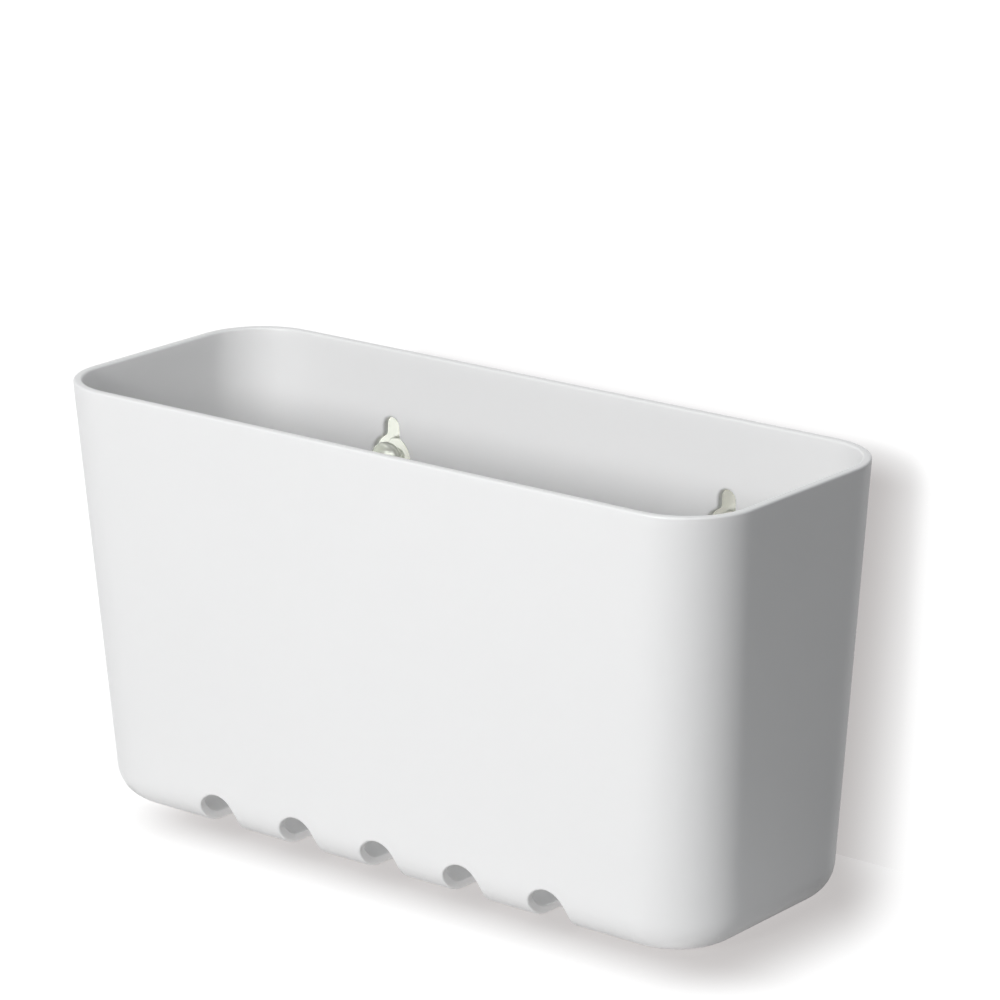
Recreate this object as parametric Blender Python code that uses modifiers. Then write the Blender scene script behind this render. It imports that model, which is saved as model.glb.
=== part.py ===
"""Suction basket: a small bathroom basket that hangs on a smooth wall from two suction cups.

Metres, +Z up. The front faces -Y, the wall is on the +Y side and the length runs along X.
The origin is on the table under the middle of the whole object, so Y = 0 is halfway between
the front of the rim and the plane of the wall that the cups stick to.
"""

import math

import bmesh
import bpy
from mathutils import Vector

MM = 0.001

# Basket, outside
RIM_LENGTH = 206.6 * MM
RIM_DEPTH = 80.8 * MM
HEIGHT = 112.0 * MM
SIDE_DRAW = 6.7 * MM        # how far each end wall leans in from rim to base
FRONT_DRAW = 7.0 * MM
BACK_DRAW = 3.0 * MM
CORNER_RADIUS = 19.0 * MM   # upright corners
EDGE_RADIUS = 9.4 * MM      # all round the base
WALL = 2.3 * MM
FLOOR = 2.3 * MM
RIM_ROUNDING = 0.6 * MM

# Drains: arches cut through the front bottom edge
DRAIN_COUNT = 5
DRAIN_PITCH = 26.4 * MM
DRAIN_RADIUS = 5.9 * MM
DRAIN_CROWN = 10.15 * MM    # top of the arch above the table
DRAIN_FLARE = 2.5 * MM      # radius of the foot where a flank runs out into the base
DRAIN_REACH = 16.0 * MM     # how far the cut runs back from the foot of the front wall

# Keyholes: a wide hole that lets a cup's head through, and a slot above it that holds the neck
KEYHOLE_INSET = 49.7 * MM   # from the end of the rim to the keyhole's middle
HOLE_DROP = 29.4 * MM       # from the rim down to the centre of the wide hole
HOLE_RADIUS = 6.4 * MM
SLOT_WIDTH = 5.2 * MM
SLOT_RISE = 8.6 * MM        # from the wide hole's centre to the slot's closed end centre

# Suction cups, all but the last measured from the plane of the lip
CUP_RADIUS = 21.0 * MM
LIP_FLAT = 1.6 * MM         # width of the flat ring that seals on the tile
LIP_THICKNESS = 0.9 * MM
CUP_HOLLOW = 5.2 * MM       # depth of the hollow when nothing presses on the cup
DISH_HEIGHT = 8.4 * MM
COLLAR_RADIUS = 5.0 * MM
COLLAR_HEIGHT = 11.4 * MM
NECK_CLEARANCE = 0.3 * MM   # between the neck and the slot, on each side
WALL_CLEARANCE = 0.7 * MM   # between the basket's back wall and the collar or the head
HEAD_RADIUS = 5.0 * MM
HEAD_BAND = 1.0 * MM        # straight edge of the head
HEAD_DOME = 1.9 * MM
SOFT_EDGE = 0.5 * MM        # rounding where the collar's face meets its side

OVERRUN = 4.0 * MM          # how far every cutter runs past what it cuts

# Facets
CORNER_STEPS = 10
EDGE_STEPS = 8
RIM_STEPS = 3
ARCH_STEPS = 20
FLARE_STEPS = 5
HOLE_STEPS = 28
SLOT_END_STEPS = 12
TURN_STEPS = 36
DISH_STEPS = 8
DOME_STEPS = 5
ROUND_STEPS = 3

# Places that follow from the sizes above
KEYHOLE_X = RIM_LENGTH / 2 - KEYHOLE_INSET
HOLE_HEIGHT = HEIGHT - HOLE_DROP
NECK_RADIUS = SLOT_WIDTH / 2 - NECK_CLEARANCE
HOLE_LEAN = BACK_DRAW * HOLE_DROP / HEIGHT
CUP_REACH = COLLAR_HEIGHT + WALL_CLEARANCE - HOLE_LEAN   # from the rim's back to the tile
OVERALL_DEPTH = RIM_DEPTH + CUP_REACH
FRONT_Y = -OVERALL_DEPTH / 2
BACK_Y = FRONT_Y + RIM_DEPTH
TILE_Y = OVERALL_DEPTH / 2
HEAD_UNDERSIDE = COLLAR_HEIGHT + WALL + 2 * WALL_CLEARANCE


def clear_scene():
    for item in list(bpy.data.objects):
        bpy.data.objects.remove(item, do_unlink=True)
    for group in list(bpy.data.collections):
        bpy.data.collections.remove(group)


def new_collection(name):
    collection = bpy.data.collections.new(name)
    bpy.context.scene.collection.children.link(collection)
    return collection


def plastic(name, colour, roughness, alpha=1.0):
    material = bpy.data.materials.new(name)
    material.use_nodes = True
    shader = material.node_tree.nodes["Principled BSDF"]
    shader.inputs["Base Color"].default_value = (*colour, 1.0)
    shader.inputs["Roughness"].default_value = roughness
    shader.inputs["Metallic"].default_value = 0.0
    shader.inputs["Alpha"].default_value = alpha
    return material


def add_object(name, bm, collection, material=None):
    mesh = bpy.data.meshes.new(name)
    bm.to_mesh(mesh)
    bm.free()
    item = bpy.data.objects.new(name, mesh)
    collection.objects.link(item)
    if material:
        mesh.materials.append(material)
    return item


def shade(item, angle=math.radians(35)):
    item.data.shade_smooth()
    item.data.set_sharp_from_angle(angle=angle)


def arc(centre, radius, start, end, steps):
    """Points on a circle from one angle to another, in degrees, both ends included."""
    points = []
    for step in range(steps + 1):
        angle = math.radians(start + (end - start) * step / steps)
        points.append((centre[0] + radius * math.cos(angle), centre[1] + radius * math.sin(angle)))
    return points


def lean(z):
    """Share of each wall's draw that it has made at this height."""
    return (HEIGHT - z) / HEIGHT


def half_length_at(z):
    return RIM_LENGTH / 2 - SIDE_DRAW * lean(z)


def front_at(z):
    return FRONT_Y + FRONT_DRAW * lean(z)


def back_at(z):
    return BACK_Y - BACK_DRAW * lean(z)


def open_tub(bm, base, inset, corner, edge):
    """Adds an open-topped tapered box with rounded corners and a rounded base."""
    base_gap = (HEIGHT - base) / 2
    verts = bmesh.ops.create_cube(bm, size=1.0)["verts"]
    for vert in verts:
        z = HEIGHT if vert.co.z > 0 else base
        x = math.copysign(half_length_at(z) - inset, vert.co.x)
        y = back_at(z) - inset if vert.co.y > 0 else front_at(z) + inset
        vert.co = Vector((x, y, z))

    faces = {face for vert in verts for face in vert.link_faces}
    top = [face for face in faces if all(vert.co.z > HEIGHT / 2 for vert in face.verts)]
    bmesh.ops.delete(bm, geom=top, context="FACES_ONLY")

    own = {side for vert in verts for side in vert.link_edges}
    upright = [side for side in own if abs(side.verts[0].co.z - side.verts[1].co.z) > base_gap]
    made = bmesh.ops.bevel(bm, geom=upright, offset=corner, segments=CORNER_STEPS,
                           profile=0.5, affect="EDGES")

    near = {side for face in made["faces"] for vert in face.verts for side in vert.link_edges}
    foot = [side for side in near if all(vert.co.z < base + base_gap for vert in side.verts)]
    bmesh.ops.bevel(bm, geom=foot, offset=edge, segments=EDGE_STEPS,
                    profile=0.5, affect="EDGES")


def basket_shell(collection, material):
    """The moulding before its drains and keyholes: two nested tubs joined along the rim."""
    bm = bmesh.new()
    open_tub(bm, 0.0, 0.0, CORNER_RADIUS, EDGE_RADIUS)
    outer_faces = list(bm.faces)
    open_tub(bm, FLOOR, WALL, CORNER_RADIUS - WALL, EDGE_RADIUS - WALL)
    inner_faces = [face for face in bm.faces if face not in set(outer_faces)]
    bmesh.ops.reverse_faces(bm, faces=inner_faces)
    made = bmesh.ops.bridge_loops(bm, edges=[e for e in bm.edges if e.is_boundary])
    rim_faces = made["faces"]
    rim_edges = {e for face in rim_faces for e in face.edges
                 if any(other not in rim_faces for other in e.link_faces)}
    bmesh.ops.bevel(bm, geom=list(rim_edges), offset=RIM_ROUNDING, segments=RIM_STEPS,
                    profile=0.5, affect="EDGES")
    bmesh.ops.recalc_face_normals(bm, faces=bm.faces)
    return add_object("basket", bm, collection, material)


def outline_prism(name, points, depth, collection):
    """A cutter: an outline in X and Z, extruded by its depth along Y about its own origin."""
    curve = bpy.data.curves.new(name, "CURVE")
    curve.dimensions = "2D"
    curve.fill_mode = "BOTH"
    curve.extrude = depth / 2
    spline = curve.splines.new("POLY")
    spline.points.add(len(points) - 1)
    for point, (x, z) in zip(spline.points, points):
        point.co = (x, z, 0.0, 1.0)
    spline.use_cyclic_u = True
    guide = bpy.data.objects.new(name, curve)
    collection.objects.link(guide)
    guide.rotation_euler = (math.radians(90), 0.0, 0.0)
    bpy.context.view_layer.update()

    evaluated = guide.evaluated_get(bpy.context.evaluated_depsgraph_get())
    mesh = bpy.data.meshes.new_from_object(evaluated)
    bm = bmesh.new()
    bm.from_mesh(mesh)
    bmesh.ops.remove_doubles(bm, verts=bm.verts, dist=MM / 1000)
    bmesh.ops.recalc_face_normals(bm, faces=bm.faces)
    bm.to_mesh(mesh)
    bm.free()
    cutter = bpy.data.objects.new(name + "_cutter", mesh)
    cutter.matrix_world = guide.matrix_world
    collection.objects.link(cutter)
    bpy.data.objects.remove(guide, do_unlink=True)
    cutter.hide_render = True
    cutter.display_type = "WIRE"
    return cutter


def drain_outline():
    """A round arch whose flanks flare out in small feet at the table, closed below it."""
    centre_z = DRAIN_CROWN - DRAIN_RADIUS
    foot_x = DRAIN_RADIUS + DRAIN_FLARE
    points = [(foot_x, -OVERRUN)]
    points += arc((foot_x, DRAIN_FLARE), DRAIN_FLARE, 270, 180, FLARE_STEPS)
    points += arc((0.0, centre_z), DRAIN_RADIUS, 0, 180, ARCH_STEPS)
    points += arc((-foot_x, DRAIN_FLARE), DRAIN_FLARE, 0, -90, FLARE_STEPS)
    points += [(-foot_x, -OVERRUN)]
    return points


def keyhole_outline():
    """A round hole with a narrower slot rising from it to a round end, about the hole's centre."""
    half = SLOT_WIDTH / 2
    mouth = math.degrees(math.acos(half / HOLE_RADIUS))
    points = arc((0.0, 0.0), HOLE_RADIUS, 180 - mouth, 360 + mouth, HOLE_STEPS)
    points += arc((0.0, SLOT_RISE), half, 0, 180, SLOT_END_STEPS)
    return points


def cut_all(item, cutters):
    """Takes every cutter away at once, so that no cut works on the last one's faces."""
    modifier = item.modifiers.new("openings", "BOOLEAN")
    modifier.operation = "DIFFERENCE"
    modifier.solver = "EXACT"
    modifier.operand_type = "COLLECTION"
    modifier.collection = cutters


def place_drains(cutters):
    start = FRONT_Y - OVERRUN
    end = front_at(0.0) + DRAIN_REACH
    for index in range(DRAIN_COUNT):
        cutter = outline_prism(f"drain_{index + 1}", drain_outline(), end - start, cutters)
        x = (index - (DRAIN_COUNT - 1) / 2) * DRAIN_PITCH
        cutter.location = (x, (start + end) / 2, 0.0)


def place_keyholes(cutters):
    depth = WALL + BACK_DRAW + 2 * OVERRUN
    for side, name in ((-1, "keyhole_left"), (1, "keyhole_right")):
        cutter = outline_prism(name, keyhole_outline(), depth, cutters)
        cutter.location = (side * KEYHOLE_X, back_at(HOLE_HEIGHT) - WALL / 2, HOLE_HEIGHT)


def cup_profile():
    """Half section of a cup as (radius, height above the tile), from the head down to the hollow."""
    dome_base = HEAD_UNDERSIDE + HEAD_BAND
    profile = []
    for step in range(DOME_STEPS + 1):
        angle = math.radians(90 - 90 * step / DOME_STEPS)
        profile.append((HEAD_RADIUS * math.cos(angle), dome_base + HEAD_DOME * math.sin(angle)))
    profile[0] = (0.0, dome_base + HEAD_DOME)
    profile.append((HEAD_RADIUS, HEAD_UNDERSIDE))
    profile.append((NECK_RADIUS, HEAD_UNDERSIDE))
    profile.append((NECK_RADIUS, COLLAR_HEIGHT))
    corner = (COLLAR_RADIUS - SOFT_EDGE, COLLAR_HEIGHT - SOFT_EDGE)
    profile += arc(corner, SOFT_EDGE, 90, 0, ROUND_STEPS)
    for step in range(DISH_STEPS + 1):
        angle = math.radians(90 * step / DISH_STEPS)
        radius = COLLAR_RADIUS + (CUP_RADIUS - COLLAR_RADIUS) * math.sin(angle)
        height = LIP_THICKNESS + (DISH_HEIGHT - LIP_THICKNESS) * math.cos(angle)
        profile.append((radius, height))
    profile.append((CUP_RADIUS, 0.0))
    hollow_radius = CUP_RADIUS - LIP_FLAT
    for step in range(DISH_STEPS + 1):
        angle = math.radians(90 * step / DISH_STEPS)
        profile.append((hollow_radius * math.cos(angle), CUP_HOLLOW * math.sin(angle)))
    profile[-1] = (0.0, CUP_HOLLOW)
    return profile


def suction_cup(name, x, collection, material):
    """A turned cup whose origin is where its axis meets the tile, with its head towards the front."""
    bm = bmesh.new()
    verts = [bm.verts.new((radius, 0.0, height)) for radius, height in cup_profile()]
    for above, below in zip(verts, verts[1:]):
        bm.edges.new((above, below))
    cup = add_object(name, bm, collection, material)
    cup.location = (x, TILE_Y, HOLE_HEIGHT)
    cup.rotation_euler = (math.radians(90), 0.0, 0.0)
    screw = cup.modifiers.new("turn", "SCREW")
    screw.axis = "Z"
    screw.angle = math.radians(360)
    screw.steps = TURN_STEPS
    screw.render_steps = TURN_STEPS
    screw.use_merge_vertices = True
    screw.merge_threshold = MM / 100
    screw.use_smooth_shade = True
    return cup


def build():
    clear_scene()
    parts = new_collection("suction_basket")
    cutters = new_collection("cutters")
    white = plastic("white_polypropylene", (0.86, 0.88, 0.89), 0.38)
    basket = basket_shell(parts, white)
    place_drains(cutters)
    place_keyholes(cutters)
    cut_all(basket, cutters)
    shade(basket)
    for side, name in ((-1, "suction_cup_left"), (1, "suction_cup_right")):
        vinyl = plastic(name + "_vinyl", (0.52, 0.56, 0.47), 0.25, 0.75)
        suction_cup(name, side * KEYHOLE_X, parts, vinyl)


build()
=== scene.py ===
import math

import bmesh
import bpy
import numpy as np
from mathutils import Matrix, Vector


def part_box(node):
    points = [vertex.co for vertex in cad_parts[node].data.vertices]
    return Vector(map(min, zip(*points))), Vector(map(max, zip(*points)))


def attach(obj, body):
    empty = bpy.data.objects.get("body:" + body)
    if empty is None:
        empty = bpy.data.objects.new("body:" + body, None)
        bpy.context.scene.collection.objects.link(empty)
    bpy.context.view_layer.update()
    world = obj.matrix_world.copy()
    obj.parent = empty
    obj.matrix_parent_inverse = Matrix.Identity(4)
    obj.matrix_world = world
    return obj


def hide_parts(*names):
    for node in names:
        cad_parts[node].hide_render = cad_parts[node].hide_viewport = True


# The looks of a suction basket: a tapered white bathroom basket with arched drains along its
# front base, and two soft clear cups that button into keyholes high in its back wall.

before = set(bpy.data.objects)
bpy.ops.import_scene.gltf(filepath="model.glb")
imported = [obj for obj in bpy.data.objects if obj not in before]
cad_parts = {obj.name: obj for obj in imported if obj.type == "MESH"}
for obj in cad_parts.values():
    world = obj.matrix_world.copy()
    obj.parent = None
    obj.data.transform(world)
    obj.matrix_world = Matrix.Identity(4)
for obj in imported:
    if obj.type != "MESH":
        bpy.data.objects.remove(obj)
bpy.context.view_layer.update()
mm = 0.001
diagonal = math.sqrt(0.5)        # a slanting step of 45 degrees, as a share along each axis

# What a user would change about the basket. Its overall size comes from the frame.
basketDesign = {
    "sideDraw": 6.7 * mm,        # how far each wall leans in from rim to base
    "frontDraw": 7.0 * mm,
    "backDraw": 3.0 * mm,
    "cornerRadius": 19.0 * mm,   # upright corners, outside
    "edgeRadius": 9.4 * mm,      # all round the base, outside
    "wall": 2.3 * mm,
    "rimRound": 0.6 * mm,
    "stripHalf": 66.0 * mm,      # half of the straight stretch that carries the openings
    "stripSteps": 80,
    "endSteps": 7,               # from that stretch to each upright corner
    "sideSteps": 14,
    "cornerSteps": 20,
    "edgeSteps": 18,
    "rimSteps": 5,
    "floorSteps": 7,
    # rows up the wall, in mm above the table: below, beside and above the keyholes' cells
    "wallHeights": (11.2, 13.0, 14.8, 16.6, 20, 25, 30, 36, 42, 48, 54, 60, 65, 70.6),
    "keyholeTop": 101.8,
    "keyholeSteps": 20,
    "aboveHeights": (104.0, 106.5, 109.0),
}

drainDesign = {
    "count": 5,
    "pitch": 26.4 * mm,
    "radius": 5.9 * mm,
    "crown": 10.15 * mm,         # top of the arch above the table
    "reach": 16.0 * mm,          # from the foot of the front wall to the end of the cut
    "endRadius": 2.2 * mm,       # plan corners at the end of the cut
    "edgeRound": 0.45 * mm,
    "innerRound": 0.3 * mm,
    "footRound": 1.0 * mm,       # softer edge where a flank runs out into the base
    "footStart": (7.5 * mm, 13.0 * mm),   # how far down the base's edge it begins and is full
    "footEnd": (0.6 * mm, 4.0 * mm),      # how far before the cut's end it is gone and still full
    "cellRows": 4,               # rows of the wall, above the base's edge, in a drain's cell
    "archSteps": 160,
    "flankPoints": 118,
    "endCornerSteps": 24,
    "endPoints": 38,
}

# A keyhole's wide hole lies on the axis that its cup has at rest.
keyholeDesign = {
    "radius": 6.4 * mm,
    "slotWidth": 5.2 * mm,
    "rise": 8.6 * mm,            # from the wide hole's middle to the middle of the slot's round end
    "throat": 0.7 * mm,          # rounding where the slot runs into the hole
    "edgeRound": 0.4 * mm,
    "innerRound": 0.7 * mm,
    "topSteps": 80,
    "sidePoints": 28,
    "throatSteps": 24,
    "holeSteps": 220,
}

# The mesh round every opening.
openingMesh = {
    "rings": 10,                 # from the border of its cell in to its edge
    "crowding": 1.35,            # 1 spaces them evenly, more draws them to the edge
    "roundSteps": 5,
    "wallShares": (0.33, 0.67),  # rings between its two rounded edges
    "slopeStep": 0.02 * mm,      # how far along the outline its direction is measured
}


def smooth(value, low, high):
    # 0 below low, 1 above high, with level ends
    s = np.clip((value - low) / (high - low), 0, 1)
    return s * s * (3 - 2 * s)


def between(start, end, count):
    # evenly spaced values that leave out both ends
    return np.linspace(start, end, count + 2)[1:-1]


def arcPoints(cx, cy, radius, start, end, steps):
    # a circle's points from one angle in degrees to another
    a = np.radians(np.linspace(start, end, steps + 1))
    return np.c_[cx + radius * np.cos(a), cy + radius * np.sin(a)]


def mirrored(points):
    # the left side of an outline from its right side, going on clockwise
    return points[::-1] * (-1, 1)


class Shell:
    # The moulding's skins. A place on them is a perimeter place, a rise t and a depth w.
    # Above the base's rounded edge t is the height over the edge's top; below, minus t is the
    # length along the edge's outer arc, and past that the way in along the floor. The depth w
    # goes from 0 on the outer skin to the wall's thickness on the inner one.

    def __init__(self, design, low, high):
        self.design = design
        self.height = high[2]
        self.front, self.back, self.halfLength = low[1], high[1], high[0]
        self.edge = design["edgeRadius"]
        self.wall = design["wall"]
        self.edgeEnd = -self.edge * math.pi / 2

    def edgeTurn(self, t):
        # how far round the base's edge: 0 at its top and a right angle where the floor begins
        return np.clip(-t / self.edge, 0, math.pi / 2)

    def reach(self, top, draw, t, w):
        # one wall's outward distance: a leaning line that a round base edge meets in tangent
        slope = draw / self.height
        line = top - draw + slope * (self.edge + t) - w
        turn = self.edgeTurn(t)
        radius = self.edge - w
        atEdge = top - draw + slope * self.edge - w
        lean = math.atan(slope)
        onArc = atEdge - radius / math.cos(lean) + radius * np.cos(turn)
        onLine = atEdge - radius * np.sin(turn) * slope
        return np.where(t > 0, line, np.where(turn > lean, onArc, onLine))

    def section(self, t, w):
        # half length, front, back, corner radius and height of the skin at a rise and depth
        design, turn = self.design, self.edgeTurn(t)
        half = self.reach(self.halfLength, design["sideDraw"], t, w)
        front = -self.reach(-self.front, design["frontDraw"], t, w)
        back = self.reach(self.back, design["backDraw"], t, w)
        corner = design["cornerRadius"] - w - (self.edge - w) * (1 - np.cos(turn))
        z = np.where(t > 0, self.edge + t, self.edge - (self.edge - w) * np.sin(turn))
        return half, front, back, corner, z

    def floorSection(self, w):
        # the same as plain numbers, where one skin's floor begins
        return [float(a[0]) for a in self.section(np.array([self.edgeEnd]), np.array([w]))]

    def frontPlace(self, x, t, w):
        # front wall, rounded edge and floor as one sheet unrolled along t
        _, front, _, _, z = self.section(t, w)
        inward = np.clip(self.edgeEnd - t, 0, None)
        return np.stack([x + 0 * t, front + inward, z + 0 * x], -1)

    def backPlace(self, x, z, w):
        # the leaning back wall over x and the height above the table
        _, _, back, _, height = self.section(z - self.edge, w)
        return np.stack([x + 0 * z, back + 0 * x, height + 0 * x], -1)


class MeshStock:
    # collects grids of points into one mesh; shared borders are merged at the end

    def __init__(self):
        self.points, self.quads, self.count = [], [], 0

    def grid(self, points, keep=None, closed=False):
        # one quad between each four neighbours; a closed grid's last column meets its first
        rows, columns = points.shape[:2]
        index = self.count + np.arange(rows * columns).reshape(rows, columns)
        self.points.append(points.reshape(-1, 3))
        self.count += rows * columns
        if closed:
            index = np.concatenate([index, index[:, :1]], 1)
        quads = np.stack([index[:-1, :-1], index[:-1, 1:], index[1:, 1:], index[1:, :-1]], -1)
        if keep is not None:
            quads = quads[keep]
        self.quads.append(quads.reshape(-1, 4))

    def build(self, name, merge=0.004 * mm):
        # points nearer than the merge distance become one, and the faces turn outwards
        points = np.concatenate(self.points)
        quads = np.concatenate(self.quads)
        mesh = bpy.data.meshes.new(name)
        mesh.from_pydata(points.tolist(), [], quads.tolist())
        bm = bmesh.new()
        bm.from_mesh(mesh)
        bmesh.ops.remove_doubles(bm, verts=bm.verts, dist=merge)
        bmesh.ops.dissolve_degenerate(bm, edges=bm.edges, dist=merge / 4)
        bmesh.ops.recalc_face_normals(bm, faces=bm.faces)
        opened = sum(not e.is_manifold for e in bm.edges)
        bm.to_mesh(mesh)
        bm.free()
        mesh.shade_smooth()
        piece = bpy.data.objects.new(name, mesh)
        bpy.context.scene.collection.objects.link(piece)
        print(name, len(mesh.polygons), "faces", opened, "open or shared edges")
        return piece


def perimeterPlaces(design):
    # Columns round the basket, as weights: a fixed x, a share of the stretch from the strip's
    # end to the corner's centre, an outward direction, and a share of the way back.
    strip = np.linspace(-design["stripHalf"], design["stripHalf"], design["stripSteps"] + 1)
    ends = np.arange(1, design["endSteps"] + 1) / design["endSteps"]
    fixed = np.concatenate([np.full(len(ends), strip[0]), strip, np.full(len(ends), strip[-1])])
    share = np.concatenate([-ends[::-1], 0 * strip, ends])
    side = np.linspace(0, 1, design["sideSteps"] + 1)
    turn = np.radians(between(0, 90, design["cornerSteps"] - 1))
    half = design["stripHalf"]

    def block(fixedX, shareX, nx, ny, back):
        # one stretch's five weights, with the single numbers repeated for each column
        shape = np.broadcast_arrays(fixedX, shareX, nx, ny, back)
        return np.stack([np.asarray(a, float) for a in shape])

    return np.concatenate([
        block(fixed, share, 0, -1, 0),
        block(half, 1, np.sin(turn), -np.cos(turn), 0),
        block(half, 1, 1, 0, side),
        block(half, 1, np.cos(turn), np.sin(turn), 1),
        block(fixed[::-1], share[::-1], 0, 1, 1),
        block(-half, -1, -np.sin(turn), np.cos(turn), 1),
        block(-half, -1, -1, 0, side[::-1]),
        block(-half, -1, -np.cos(turn), -np.sin(turn), 0),
    ], axis=1)


def perimeterGrid(shell, places, t, w):
    # rows of rise and depth carried round the perimeter
    fixedX, shareX, nx, ny, back = places
    half, front, rear, corner, z = (a[:, None] for a in shell.section(t, w))
    x = fixedX + shareX * (half - corner - shell.design["stripHalf"]) + nx * corner
    y = (1 - back) * (front + corner) + back * (rear - corner) + ny * corner
    return np.stack([x, y, z + 0 * x], -1)


def rimPath(shell):
    # over the rim from the outer to the inner skin: two small quarter rounds and a flat
    r = shell.design["rimRound"]
    a = np.radians(np.linspace(0, 90, shell.design["rimSteps"] + 1))
    top = shell.height - shell.edge
    depth = np.concatenate([r * (1 - np.cos(a)), shell.wall - r * (1 - np.cos(a[::-1]))])
    rise = np.concatenate([top - r * (1 - np.sin(a)), top - r * (1 - np.sin(a[::-1]))])
    return rise, depth


def openingOutline(points, counts, anchors):
    # A closed outline of many points, cut at its anchor points into stretches and each
    # stretch divided evenly into its own count, with the normal that points into the material.
    loop = np.concatenate([points, points[:1]])
    length = np.concatenate([[0], np.cumsum(np.hypot(*np.diff(loop, axis=0).T))])
    marks = [length[i] for i in anchors] + [length[-1] + length[anchors[0]]]
    s = np.concatenate([np.linspace(a, b, n, endpoint=False)
                        for a, b, n in zip(marks, marks[1:], counts)])

    def along(s):
        return np.stack([np.interp(s % length[-1], length, loop[:, k]) for k in (0, 1)], -1)

    step = openingMesh["slopeStep"]
    tangent = along(s + step) - along(s - step)
    tangent /= np.linalg.norm(tangent, axis=1, keepdims=True)
    normal = np.stack([-tangent[:, 1], tangent[:, 0]], -1)
    return along(s), normal


def openingGrid(stock, place, wall, outline, normal, border, outer, inner):
    # A hole through the wall, as rings round its outline: from the border of its cell in over
    # the outer skin, round a small edge, through the wall, round the inner edge and out again.
    # The outer edge's radius may differ from point to point.
    shares = np.linspace(0, 1, openingMesh["rings"] + 1) ** openingMesh["crowding"]
    quarter = np.radians(np.linspace(0, 90, openingMesh["roundSteps"] + 1))
    outer = np.broadcast_to(outer, len(outline))[:, None]
    inner = np.broadcast_to(inner, len(outline))[:, None]
    rows, depths = [], []
    for share in shares[::-1]:
        rows.append((1 - share) * (outline + outer * normal) + share * border)
        depths.append(0 * outer)
    for a in quarter[1:]:
        rows.append(outline + outer * (1 - math.sin(a)) * normal)
        depths.append(outer * (1 - math.cos(a)))
    for share in openingMesh["wallShares"]:
        rows.append(outline)
        depths.append(outer + share * (wall - inner - outer))
    for a in quarter:
        rows.append(outline + inner * (1 - math.cos(a)) * normal)
        depths.append(wall - inner * (1 - math.sin(a)))
    for share in shares[1:]:
        rows.append((1 - share) * (outline + inner * normal) + share * border)
        depths.append(wall + 0 * inner)
    rows, depths = np.stack(rows), np.stack(depths)[..., 0]
    stock.grid(place(rows[..., 0], rows[..., 1], depths), closed=True)


def cellBorder(columns, rows):
    # a cell's border from its top left corner, across, down, back and up
    top, low = rows[0], rows[-1]
    return np.concatenate([
        np.c_[columns[:-1], np.full(len(columns) - 1, top)],
        np.c_[np.full(len(rows) - 1, columns[-1]), rows[:-1]],
        np.c_[columns[:0:-1], np.full(len(columns) - 1, low)],
        np.c_[np.full(len(rows) - 1, columns[0]), rows[:0:-1]],
    ])


def nearest(points, target):
    # which of an outline's points lies nearest to a target
    return int(np.argmin(np.hypot(*(points - np.array(target)).T)))


def drainOutline(shell, design):
    # in x and t: a round arch seen from the front, straight flanks down the rounded edge and
    # in along the floor, and an end with small plan corners; clockwise from the arch's left
    r, radius, steps = design["radius"], design["endRadius"], design["archSteps"]
    arch = arcPoints(0, design["crown"] - r, r, 180, 0, steps)
    over = arch[:, 1] - shell.edge
    turn = np.arcsin(np.clip(-over / shell.edge, 0, 1))
    archT = np.where(over > 0, over, -turn * shell.edge)
    foot = shell.floorSection(0.0)[1]
    bottom = shell.front + shell.design["frontDraw"]
    end = shell.edgeEnd - (bottom + design["reach"] - foot)     # past the edge, along the floor
    flank = between(archT[-1], end + radius, design["flankPoints"])
    right = np.c_[np.full(len(flank), r), flank]
    corner = arcPoints(r - radius, end + radius, radius, 0, -90, design["endCornerSteps"])
    across = between(r - radius, radius - r, design["endPoints"])
    points = np.concatenate([np.c_[arch[:, 0], archT], right, corner,
                             np.c_[across, np.full(len(across), end)],
                             mirrored(corner), mirrored(right)])
    middle = r - radius * (1 - diagonal)
    anchors = [nearest(points, (-r * diagonal, archT[steps // 4])),
               nearest(points, (r * diagonal, archT[3 * steps // 4])),
               nearest(points, (middle, end + radius * (1 - diagonal))),
               nearest(points, (-middle, end + radius * (1 - diagonal)))]
    return points, anchors, end


def cutDrains(stock, shell, design, columns, rows, cell):
    # one outline in each drain's cell, with softer edges at the feet of its flanks
    points, anchors, end = drainOutline(shell, design)
    outline, normal = openingOutline(points, (cell, len(rows) - 1) * 2, anchors)
    t = outline[:, 1]
    foot = smooth(-t, *design["footStart"]) * smooth(t - end, *design["footEnd"])
    rounding = design["edgeRound"] + (design["footRound"] - design["edgeRound"]) * foot
    for k in range(design["count"]):
        border = cellBorder(columns[k * cell:(k + 1) * cell + 1], rows)
        x = (k - (design["count"] - 1) / 2) * design["pitch"]
        openingGrid(stock, shell.frontPlace, shell.wall, outline + (x, 0), normal, border,
                    rounding, design["innerRound"])


def keyholeOutline(design):
    # in x and z: a round hole with a slot rising from it, their meeting rounded by small arcs;
    # clockwise from the slot's left side
    r, half, throat = design["radius"], design["slotWidth"] / 2, design["throat"]
    rise = design["rise"]
    cx = half + throat
    cz = math.sqrt((r + throat) ** 2 - cx ** 2)
    meet = math.degrees(math.atan2(cz, cx))
    top = arcPoints(0, rise, half, 180, 0, design["topSteps"])
    side = between(rise, cz, design["sidePoints"])
    side = np.c_[np.full(len(side), half), side]
    corner = arcPoints(cx, cz, throat, 180, 180 + meet, design["throatSteps"])
    hole = arcPoints(0, 0, r, meet, -180 - meet, design["holeSteps"])[1:-1]
    points = np.concatenate([top, side, corner, hole, mirrored(corner), mirrored(side)])
    anchors = [nearest(points, (-half * diagonal, rise + half * diagonal)),
               nearest(points, (half * diagonal, rise + half * diagonal)),
               nearest(points, (r * diagonal, -r * diagonal)),
               nearest(points, (-r * diagonal, -r * diagonal))]
    return points, anchors


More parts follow.
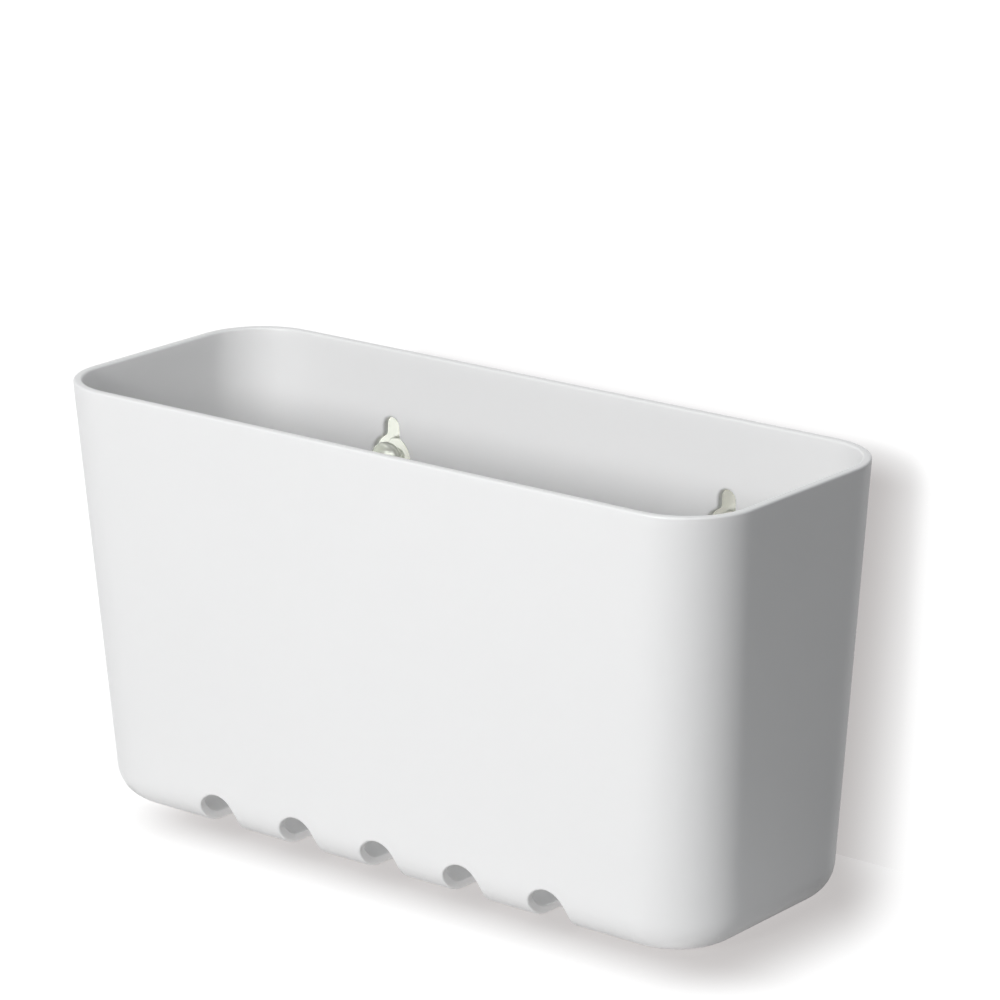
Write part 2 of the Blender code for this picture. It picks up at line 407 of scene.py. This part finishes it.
def cutKeyholes(stock, shell, design, columns, rows, cell):
    # one outline in the cell at each end of the strip, on the axis of its cup
    points, anchors = keyholeOutline(design)
    outline, normal = openingOutline(points, (cell, len(rows) - 1) * 2, anchors)
    for side, first in (("left", 0), ("right", len(columns) - 1 - cell)):
        low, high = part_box("suction_cup_" + side)
        border = cellBorder(columns[first:first + cell + 1], rows)
        openingGrid(stock, shell.backPlace, shell.wall,
                    outline + ((low[0] + high[0]) / 2, (low[2] + high[2]) / 2), normal, border,
                    design["edgeRound"], design["innerRound"])


def floorGrids(stock, shell, design, places, depth):
    # the flat of the floor at one skin: a main grid, a block at each end and four corner fans
    half, front, rear, corner, z = shell.floorSection(depth)
    columns = design["stripSteps"] + 2 * design["endSteps"] + 1
    x = places[0, :columns] + places[1, :columns] * (half - corner - design["stripHalf"])
    steps = design["floorSteps"]
    share = np.linspace(0, 1, steps + 1)
    side = np.linspace(0, 1, design["sideSteps"] + 1)
    middle = (1 - side) * (front + corner) + side * (rear - corner)
    y = np.concatenate([front + corner * share[:-1], middle, rear - corner * share[::-1][1:]])
    keep = np.ones((len(y) - 1, columns - 1), bool)
    keep[:steps, design["endSteps"]:-design["endSteps"]] = False
    stock.grid(np.stack(np.broadcast_arrays(x, y[:, None], z), -1), keep)
    a = np.radians(np.linspace(0, 90, design["cornerSteps"] + 1))
    fan = corner * share[:, None]
    for sign in (-1, 1):
        ends = sign * (half - corner + corner * share)
        stock.grid(np.stack(np.broadcast_arrays(ends, middle[:, None], z), -1))
        for back, cy in ((-1, front + corner), (1, rear - corner)):
            stock.grid(np.stack(np.broadcast_arrays(
                sign * (half - corner + fan * np.cos(a)), cy + back * fan * np.sin(a), z), -1))


def makeBasket(name, design, drains, keyholes):
    # two skins joined over the rim, with the openings set into cells left out of both
    low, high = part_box("basket")
    shell = Shell(design, low, high)
    stock = MeshStock()
    places = perimeterPlaces(design)

    # rows go round the base's edge, up the wall and over the rim, and the same way down inside
    edge = shell.edge
    arcT = -edge * np.radians(np.linspace(90, 0, design["edgeSteps"] + 1))
    lower = np.array(design["wallHeights"]) * mm - edge
    keyRows = np.linspace(lower[-1], design["keyholeTop"] * mm - edge, design["keyholeSteps"] + 1)
    above = np.array(design["aboveHeights"]) * mm - edge
    up = np.concatenate([arcT, lower, keyRows[1:], above])
    rise, depth = rimPath(shell)
    t = np.concatenate([up, rise, up[::-1]])
    w = np.concatenate([0 * up, depth, 0 * up + shell.wall])

    # a cell is one drain's pitch wide; the drains' cells fill the front strip and the keyholes'
    # cells stand at the ends of the back strip, which comes after the front, two corners, a
    # side and the stretch between the last corner and the strip
    strip, ends = design["stripSteps"], design["endSteps"]
    cell = round(drains["pitch"] / (2 * design["stripHalf"] / strip))
    backStrip = strip + 3 * ends + 1 + 2 * (design["cornerSteps"] - 1) + design["sideSteps"] + 1
    drainTop = len(arcT) + drains["cellRows"] - 1
    keyLow = len(arcT) + len(lower) - 1
    keep = np.ones((len(t) - 1, places.shape[1]), bool)
    keep[:drainTop, ends:ends + strip] = False
    for first in (backStrip, backStrip + strip - cell):
        keep[keyLow:keyLow + design["keyholeSteps"], first:first + cell] = False
    keep = keep & keep[::-1]
    stock.grid(perimeterGrid(shell, places, t, w), keep, closed=True)

    columns = np.linspace(-design["stripHalf"], design["stripHalf"], strip + 1)
    corner = shell.floorSection(0.0)[3]
    floorT = shell.edgeEnd - corner * np.linspace(0, 1, design["floorSteps"] + 1)[1:]
    drainRows = np.concatenate([up[:drainTop + 1][::-1], floorT])
    cutDrains(stock, shell, drains, columns, drainRows, cell)
    cutKeyholes(stock, shell, keyholes, columns, keyRows[::-1] + edge, cell)
    for skin in (0.0, shell.wall):
        floorGrids(stock, shell, design, places, skin)
    return stock.build(name)


# A cup's heights are distances from the tile that it sticks to.
cupDesign = {
    "radius": 21.0 * mm,
    "lipFlat": 1.6 * mm,         # width of the flat ring that lies on the tile
    "lipThickness": 0.9 * mm,
    "hollow": 5.2 * mm,
    "dishHeight": 8.4 * mm,
    "collarRadius": 5.0 * mm,
    "collarHeight": 11.4 * mm,
    "neckRadius": 2.3 * mm,
    "headUnderside": 15.1 * mm,
    "headRadius": 5.0 * mm,
    "headBand": 1.0 * mm,        # straight edge of the head
    "headDome": 1.9 * mm,
    "softEdge": 0.5 * mm,
    "domeSteps": 19,
    "dishSteps": 39,
    "softSteps": 6,
    "lipSteps": 4,
    "turnSteps": 128,
}


def cupProfile(design):
    # half section from the middle of the head, over its dome, down the neck and collar, out
    # over the dish to the lip, and back through the hollow to the axis
    radius, lip = design["radius"], design["lipThickness"]
    neck, collar, collarTop = (design[k] for k in ("neckRadius", "collarRadius", "collarHeight"))
    head, under, soft = (design[k] for k in ("headRadius", "headUnderside", "softEdge"))
    steps = design["softSteps"]
    a = np.radians(np.linspace(90, 0, design["domeSteps"] + 1))
    dome = np.c_[head * np.cos(a), under + design["headBand"] + design["headDome"] * np.sin(a)]
    a = np.radians(np.linspace(0, 90, design["dishSteps"] + 1))
    dish = np.c_[collar + (radius - collar) * np.sin(a),
                 lip + (design["dishHeight"] - lip) * np.cos(a)]
    profile = np.concatenate([
        dome,
        arcPoints(head - soft, under + soft, soft, 0, -90, steps),
        arcPoints(neck + soft, under - soft, soft, 90, 180, steps),
        arcPoints(neck + soft, collarTop + soft, soft, 180, 270, steps),
        arcPoints(collar - soft, collarTop - soft, soft, 90, 0, steps),
        dish[1:],
        arcPoints(radius - soft / 2, soft / 2, soft / 2, 0, -90, design["lipSteps"]),
        np.c_[(radius - design["lipFlat"]) * np.cos(a), design["hollow"] * np.sin(a)],
    ])
    profile[0, 0] = profile[-1, 0] = 0
    return profile


def makeCup(name, node, design):
    # the profile carried round an axis that runs from the tile towards the front
    low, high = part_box(node)
    x, z = (low[0] + high[0]) / 2, (low[2] + high[2]) / 2
    profile = cupProfile(design)
    a = np.linspace(0, 2 * math.pi, design["turnSteps"], endpoint=False)
    radius, height = profile[:, :1], profile[:, 1:]
    stock = MeshStock()
    stock.grid(np.stack([x + radius * np.cos(a), high[1] - height + 0 * a,
                         z + radius * np.sin(a)], -1), closed=True)
    return stock.build(name)


class Wire:
    # one output of a shader node; arithmetic on it adds Math nodes

    def __init__(self, tree, socket):
        self.tree, self.socket = tree, socket

    def output(self, name):
        # another output of the same node
        return Wire(self.tree, self.socket.node.outputs[name])

    def math(self, operation, *values):
        return self.tree.add("ShaderNodeMath", {"operation": operation}, dict(enumerate(values)))

    def __add__(self, other):
        return self.math("ADD", self, other)

    def __sub__(self, other):
        return self.math("SUBTRACT", self, other)

    def __rsub__(self, other):
        return self.math("SUBTRACT", other, self)

    def __mul__(self, other):
        return self.math("MULTIPLY", self, other)

    __radd__, __rmul__ = __add__, __mul__


class NodeTree:
    # the nodes of a material or a world, with one method that adds any node

    def __init__(self, owner):
        owner.use_nodes = True
        self.owner = owner
        self.nodes, self.links = owner.node_tree.nodes, owner.node_tree.links
        self.nodes.clear()

    def add(self, kind, settings=None, sockets=None, out=0):
        node = self.nodes.new(kind)
        for key, value in (settings or {}).items():
            setattr(node, key, value)
        for key, value in (sockets or {}).items():
            if isinstance(value, Wire):
                self.links.new(value.socket, node.inputs[key])
            else:
                node.inputs[key].default_value = value
        return Wire(self, node.outputs[out])

    def vector(self, operation, *values, out=0):
        settings = {"operation": operation}
        return self.add("ShaderNodeVectorMath", settings, dict(enumerate(values)), out)

    def mixColour(self, share, first, second):
        # the Mix node's colours are its sockets 6 and 7, and its mixed colour is its output 2
        sockets = {0: share, 6: first, 7: second}
        return self.add("ShaderNodeMix", {"data_type": "RGBA"}, sockets, 2)

    def fade(self, value, ends, kind="SMOOTHSTEP"):
        # 1 up to the first end and 0 from the second on
        sockets = dict(enumerate((value, *ends, 1.0, 0.0)))
        return self.add("ShaderNodeMapRange", {"interpolation_type": kind}, sockets)

    def noise(self, perMetre, detail):
        # soft clouds of 0 to 1 in the object's own coordinates
        here = self.add("ShaderNodeTexCoord", out="Object")
        return self.add("ShaderNodeTexNoise", {"noise_dimensions": "3D"},
                        {"Vector": here, "Scale": perMetre, "Detail": detail})

    def show(self, kind, surface):
        self.links.new(surface.socket, self.nodes.new(kind).inputs["Surface"])
        return self.owner


def grainBump(tree, grain, look):
    # lets the grain raise the surface, as a normal
    return tree.add("ShaderNodeBump", None, {
        "Strength": look["grainStrength"], "Distance": look["grainDepth"], "Height": grain})


plasticLook = {
    "colour": (0.864, 0.862, 0.859, 1),
    "shade": (0.848, 0.847, 0.845, 1),
    "cloudsPerMetre": 18.0,
    "cloudDetail": 3.0,
    "grainsPerMetre": 2600.0,    # moulded satin grain
    "grainDetail": 2.0,
    "grainDepth": 0.012 * mm,
    "grainStrength": 0.25,
    "grainRoughness": 0.05,      # how much the grain alters the gloss
    "roughness": 0.36,
    "roughnessSpread": 0.08,     # how much the clouds alter it
    "refraction": 1.49,
}


def satinPlastic(name, look):
    # white moulded plastic: faint clouds of tint and gloss under a very fine grain
    tree = NodeTree(bpy.data.materials.new(name))
    cloud = tree.noise(look["cloudsPerMetre"], look["cloudDetail"])
    grain = tree.noise(look["grainsPerMetre"], look["grainDetail"])
    rough = (look["roughness"] + look["roughnessSpread"] * (cloud - 0.5)
             + look["grainRoughness"] * (grain - 0.5))
    shader = tree.add("ShaderNodeBsdfPrincipled", None, {
        "Base Color": tree.mixColour(cloud, look["colour"], look["shade"]),
        "Roughness": rough, "Normal": grainBump(tree, grain, look), "IOR": look["refraction"]})
    return tree.show("ShaderNodeOutputMaterial", shader)


vinylLook = {
    "colour": (0.91, 0.93, 0.86, 1),
    "deep": (0.84, 0.865, 0.785, 1),
    "clearness": 0.7,            # how much of the light goes on through
    "cloudsPerMetre": 90.0,
    "cloudDetail": 4.0,
    "grainsPerMetre": 1400.0,
    "grainDetail": 2.0,
    "grainDepth": 0.02 * mm,
    "grainStrength": 0.2,
    "roughness": 0.22,
    "roughnessSpread": 0.12,
    "refraction": 1.5,
}


def clearVinyl(name, look):
    # soft translucent stuff, a little deeper in tint and duller here and there
    tree = NodeTree(bpy.data.materials.new(name))
    cloud = tree.noise(look["cloudsPerMetre"], look["cloudDetail"])
    grain = tree.noise(look["grainsPerMetre"], look["grainDetail"])
    shader = tree.add("ShaderNodeBsdfPrincipled", None, {
        "Base Color": tree.mixColour(cloud, look["colour"], look["deep"]),
        "Roughness": look["roughness"] + look["roughnessSpread"] * (cloud - 0.5),
        "Normal": grainBump(tree, grain, look), "IOR": look["refraction"],
        "Transmission Weight": look["clearness"]})
    return tree.show("ShaderNodeOutputMaterial", shader)


# Floor and wall. Each has a painted soft shade round a box by the basket, drawn from the distance
# to that box in place of a cast shadow: the box's middle and half size, how far from it the shade
# starts and ends to fade, what scales that distance along each axis, and the shade's darkest
# colour.
stageLook = {
    "size": 4.0,                           # each side of both
    "wallGap": 0.3 * mm,                   # behind the cups
    "floorGap": 0.1 * mm,                  # under the basket
    "bounce": (0.64, 0.64, 0.64, 1),       # paint that lights the basket
    "bounceAside": (0.08, 0.08, 0.08, 1),  # the same to the right of the basket
    "lampShare": (0.14, 0.14, 0.14, 1),    # paint that shows the lamps' light and shadow
    "glow": (0.99, 0.99, 0.99, 1),         # what is added to that where no shade is
    "floor": {
        "middle": (17.0 * mm, 11.2 * mm, 0), "half": (75.4 * mm, 38.5 * mm, 1.0 * mm),
        "fade": (3.8 * mm, 34.5 * mm), "axisScale": (1, 1.04, 1),
        # darkest colour of the painted shade on the floor
        "shade": (0.505, 0.485, 0.48, 1),
    },
    "wall": {
        "middle": (22.0 * mm, 46.0 * mm, 40.0 * mm), "half": (74.7 * mm, 1.0 * mm, 57.4 * mm),
        "fade": (0, 14.4 * mm), "axisScale": (1, 1, 0.87),
        # darkest colour of the painted shade on the wall
        "shade": (0.475, 0.455, 0.45, 1),
    },
    # where gloss sees no glow, a painted dark contact shade in the basket's reflections along its
    # foot, and where the basket's underside and drains are lit by a share of it
    "contact": {
        "middle": (0, -4.0 * mm, 0), "half": (90.0 * mm, 31.0 * mm, 1.0 * mm),
        "fade": (0, 6.0 * mm), "axisScale": (1, 1, 1),
    },
    "contactGlow": 0.75,
    "rightWay": (1, 0.8, -0.09),           # the next two are measured this way to the right
    "paintedShadeEnds": (112.5 * mm, 142.5 * mm),
    "bounceEnds": (104.0 * mm, 130.0 * mm),
}


def nearBox(tree, spot, box):
    # distance to a box = length(max(|spot - middle| - half, 0) * axisScale), as a share that is
    # 1 at the box and 0 past its fade
    away = tree.vector("ABSOLUTE", tree.vector("SUBTRACT", spot, box["middle"]))
    away = tree.vector("MAXIMUM", tree.vector("SUBTRACT", away, box["half"]), (0, 0, 0))
    scaled = tree.vector("MULTIPLY", away, box["axisScale"])
    return tree.fade(tree.vector("LENGTH", scaled, out="Value"), box["fade"])


def stageFinish(name, look, box):
    # Matt paint. Camera, gloss and clear stuff see it pale with its painted shade by the basket,
    # and other rays see what lights the basket. Its back is clear, so that the object shows from
    # the wall's side.
    tree = NodeTree(bpy.data.materials.new(name))
    rays = tree.add("ShaderNodeLightPath")
    glossy = rays.output("Is Glossy Ray")
    direct = rays.output("Is Camera Ray") + rays.output("Is Transmission Ray")
    seen = direct + glossy
    spot = tree.add("ShaderNodeNewGeometry")
    right = tree.vector("DOT_PRODUCT", spot, look["rightWay"], out="Value")
    byBasket = tree.fade(right, look["bounceEnds"], "LINEAR")
    bounce = tree.mixColour(byBasket, look["bounceAside"], look["bounce"])
    # painted shade round the basket, a drawn stand-in for its shadow, that ends towards the right
    shade = nearBox(tree, spot, box) * tree.fade(right, look["paintedShadeEnds"])
    tint = tree.mixColour(shade, look["glow"], box["shade"])
    contact = nearBox(tree, spot, look["contact"])
    # near the basket's foot gloss sees no glow, a painted dark contact line in its reflection, and
    # other rays see a glow there that lights the underside and drains
    strength = (direct + (1 - contact) * glossy
                + look["contactGlow"] * (contact * (1 - seen)))
    glow = tree.add("ShaderNodeVectorMath", {"operation": "SCALE"}, {0: tint, "Scale": strength})
    paint = tree.add("ShaderNodeBsdfPrincipled", None, {
        "Base Color": tree.mixColour(seen, bounce, look["lampShare"]), "Specular IOR Level": 0.0,
        "Emission Color": glow, "Emission Strength": 1.0})
    clear = tree.add("ShaderNodeBsdfTransparent")
    both = tree.add("ShaderNodeMixShader", None, {0: spot.output("Backfacing"), 1: paint, 2: clear})
    return tree.show("ShaderNodeOutputMaterial", both)


def stagePlane(name, centre, across, upward, size, material):
    # a square that faces the cross product of its two directions
    c, a, b = (np.array(v, float) for v in (centre, across, upward))
    corners = [c + size / 2 * (i * a + j * b) for i, j in ((-1, -1), (1, -1), (1, 1), (-1, 1))]
    mesh = bpy.data.meshes.new(name)
    mesh.from_pydata([v.tolist() for v in corners], [], [(0, 1, 2, 3)])
    mesh.materials.append(material)
    plane = bpy.data.objects.new(name, mesh)
    bpy.context.scene.collection.objects.link(plane)
    plane.visible_shadow = False     # so it holds back no lamp's light
    return plane


# lamps: the way to each from the basket in degrees, azimuth 0 in front and elevation above
# the table, its distance and width in metres, and its power in watts
lightDesign = {
    "world": 0.294,
    "worldColour": (0.95, 0.975, 1.0, 1),
    "seenWorld": 1.0,                      # what camera, gloss and clear stuff see behind it all
    "seenWorldColour": (0.8, 0.8, 0.8, 1),
    "aim": (0, 0, 50.0 * mm),
    "lamps": {
        "key": {"azimuth": 4.0, "elevation": 20.5, "distance": 1.6, "size": 0.42, "power": 14.75},
        "top": {"azimuth": 0.0, "elevation": 80.0, "distance": 1.3, "size": 0.5, "power": 3.6},
    },
}


def wayTo(azimuth, elevation):
    # a step of one metre towards angles in degrees
    a, e = math.radians(azimuth), math.radians(elevation)
    return Vector((math.sin(a) * math.cos(e), -math.cos(a) * math.cos(e), math.sin(e)))


def areaLight(name, aim, design):
    # a round lamp that faces its aim and that the camera doesn't see
    data = bpy.data.lights.new(name, "AREA")
    data.energy, data.shape, data.size = design["power"], "DISK", design["size"]
    lamp = bpy.data.objects.new(name, data)
    bpy.context.scene.collection.objects.link(lamp)
    way = wayTo(design["azimuth"], design["elevation"])
    lamp.location = Vector(aim) + way * design["distance"]
    lamp.rotation_euler = (-way).to_track_quat("-Z", "Y").to_euler()
    lamp.visible_camera = False


def lightScene(design):
    # a soft world that lights the basket, a pale one that is seen, and the lamps
    tree = NodeTree(bpy.data.worlds.new("studio"))
    rays = tree.add("ShaderNodeLightPath")
    seen = (rays.output("Is Camera Ray") + rays.output("Is Glossy Ray")
            + rays.output("Is Transmission Ray"))
    soft = tree.add("ShaderNodeBackground", None, {
        "Color": design["worldColour"], "Strength": design["world"]})
    pale = tree.add("ShaderNodeBackground", None, {
        "Color": design["seenWorldColour"], "Strength": design["seenWorld"]})
    both = tree.add("ShaderNodeMixShader", None, {0: seen, 1: soft, 2: pale})
    bpy.context.scene.world = tree.show("ShaderNodeOutputWorld", both)
    for name, lamp in design["lamps"].items():
        areaLight(name, design["aim"], lamp)


cameraDesign = {
    "azimuth": 38.37,
    "elevation": 16.56,
    "distance": 1.1486,
    "right": 9.68 * mm,          # how far the view's centre lies from the basket's middle
    "up": 32.71 * mm,
    "lens": 166.0,
    "sensor": 36.0,
}


def placeCamera(design):
    # stands off along a way from the basket and looks back, with its right side level
    low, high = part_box("basket")
    a = math.radians(design["azimuth"])
    back = wayTo(design["azimuth"], design["elevation"])
    right = Vector((math.cos(a), math.sin(a), 0))
    up = back.cross(right)
    middle = Vector((0, (low[1] + high[1]) / 2, high[2] / 2))
    at = middle + right * design["right"] + up * design["up"] + back * design["distance"]
    data = bpy.data.cameras.new("camera")
    data.lens, data.sensor_width = design["lens"], design["sensor"]
    camera = bpy.data.objects.new("camera", data)
    bpy.context.scene.collection.objects.link(camera)
    turn = Matrix((right, up, back)).transposed().to_4x4()
    camera.matrix_world = Matrix.Translation(at) @ turn
    bpy.context.scene.camera = camera


placeCamera(cameraDesign)
print("camera placed")

whitePlastic = satinPlastic("white_satin_plastic", plasticLook)
softVinyl = clearVinyl("clear_soft_vinyl", vinylLook)

basket = makeBasket("moulded_basket", basketDesign, drainDesign, keyholeDesign)
basket.data.materials.append(whitePlastic)
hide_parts("basket")
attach(basket, "basket")
print("basket made")

for side in ("left", "right"):
    cup = makeCup("soft_cup_" + side, "suction_cup_" + side, cupDesign)
    cup.data.materials.append(softVinyl)
    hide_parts("suction_cup_" + side)
    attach(cup, "cup_" + side)
print("suction cups made")

floorPaint = stageFinish("floor_paint", stageLook, stageLook["floor"])
wallPaint = stageFinish("wall_paint", stageLook, stageLook["wall"])
tile = float(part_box("suction_cup_left")[1][1])
stagePlane("floor", (0, 0, -stageLook["floorGap"]), (1, 0, 0), (0, 1, 0), stageLook["size"],
           floorPaint)
backdrop = stagePlane("wall", (0, tile + stageLook["wallGap"], 0), (1, 0, 0), (0, 0, 1),
                      stageLook["size"], wallPaint)
backdrop.visible_diffuse = False     # only the floor lights the basket
lightScene(lightDesign)
bpy.context.scene.view_settings.view_transform = "Standard"
print("stage and light set")
